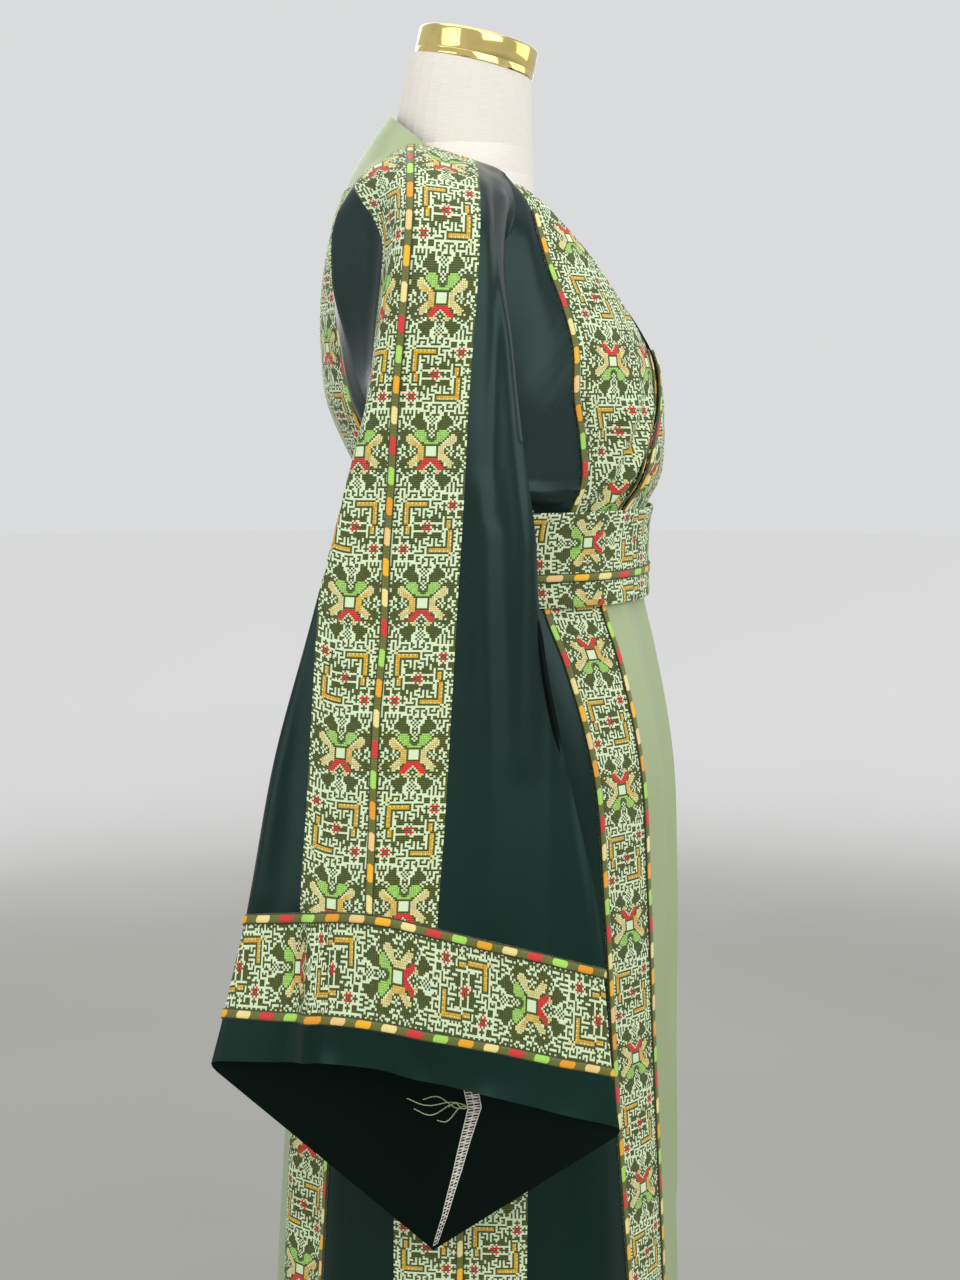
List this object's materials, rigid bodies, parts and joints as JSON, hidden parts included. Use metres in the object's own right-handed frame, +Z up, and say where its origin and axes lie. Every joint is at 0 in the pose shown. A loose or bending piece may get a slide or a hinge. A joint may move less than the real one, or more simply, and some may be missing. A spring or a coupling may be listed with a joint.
{
  "type": "palestinian thobe dress with dress form and stand",
  "caption": "Long embroidered satin thobe with wide kimono sleeves, crossed front and belt, worn by a limbless dress form on a round-based stand.",
  "frame": {"origin": "on the floor, under the middle of the whole part", "axes": "+Z up, the dress faces -Y, and the wearer's right is -X"},
  "size_m": [0.6154, 0.424, 1.5467],
  "materials": {
    "linen": "plain off-white linen cover",
    "gold_cap": "polished gold-coloured metal",
    "stand_metal": "brushed",
    "dark_satin": "dark green satin",
    "mint_satin": "pale mint satin",
    "embroidery": "cross-stitched cotton, olive on pale mint",
    "ribbon": "satin-stitched olive ribbon with coloured blocks"
  },
  "bodies": {
    "root": {"back_ribbon_left": "ribbon", "back_ribbon_right": "ribbon", "back_strip_left": "embroidery", "back_strip_right": "embroidery", "belt": "embroidery", "belt_ribbon": "ribbon", "bodice_back": "mint_satin", "bodice_front_left": "embroidery", "bodice_front_right": "embroidery", "bodice_inner_ribbon_left": "ribbon", "bodice_inner_ribbon_right": "ribbon", "bodice_outer_ribbon_left": "ribbon", "bodice_outer_ribbon_right": "ribbon", "bodice_side_strip_left": "embroidery", "bodice_side_strip_right": "embroidery", "cuff_band_left": "embroidery", "cuff_band_right": "embroidery", "cuff_hem_left": "dark_satin", "cuff_hem_right": "dark_satin", "cuff_lower_ribbon_left": "ribbon", "cuff_lower_ribbon_right": "ribbon", "cuff_top_ribbon_left": "ribbon", "cuff_top_ribbon_right": "ribbon", "form_base": "stand_metal", "form_neck_cap": "gold_cap", "form_pole": "stand_metal", "form_torso": "linen", "kimono_back_left": "dark_satin", "kimono_back_right": "dark_satin", "kimono_front_left": "dark_satin", "kimono_front_right": "dark_satin", "skirt_back_ribbon_left": "ribbon", "skirt_back_ribbon_right": "ribbon", "skirt_back_strip_left": "embroidery", "skirt_back_strip_right": "embroidery", "skirt_centre_back": "mint_satin", "skirt_centre_front": "mint_satin", "skirt_front_strip_left": "embroidery", "skirt_front_strip_right": "embroidery", "skirt_inner_ribbon_left": "ribbon", "skirt_inner_ribbon_right": "ribbon", "skirt_outer_ribbon_left": "ribbon", "skirt_outer_ribbon_right": "ribbon", "skirt_side_back_left": "dark_satin", "skirt_side_back_right": "dark_satin", "skirt_side_front_left": "dark_satin", "skirt_side_front_right": "dark_satin", "skirt_side_ribbon_left": "ribbon", "skirt_side_ribbon_right": "ribbon", "skirt_side_strip_left": "embroidery", "skirt_side_strip_right": "embroidery", "sleeve_ribbon_left": "ribbon", "sleeve_ribbon_right": "ribbon", "sleeve_strip_left": "embroidery", "sleeve_strip_right": "embroidery"}
  },
  "joints": []
}
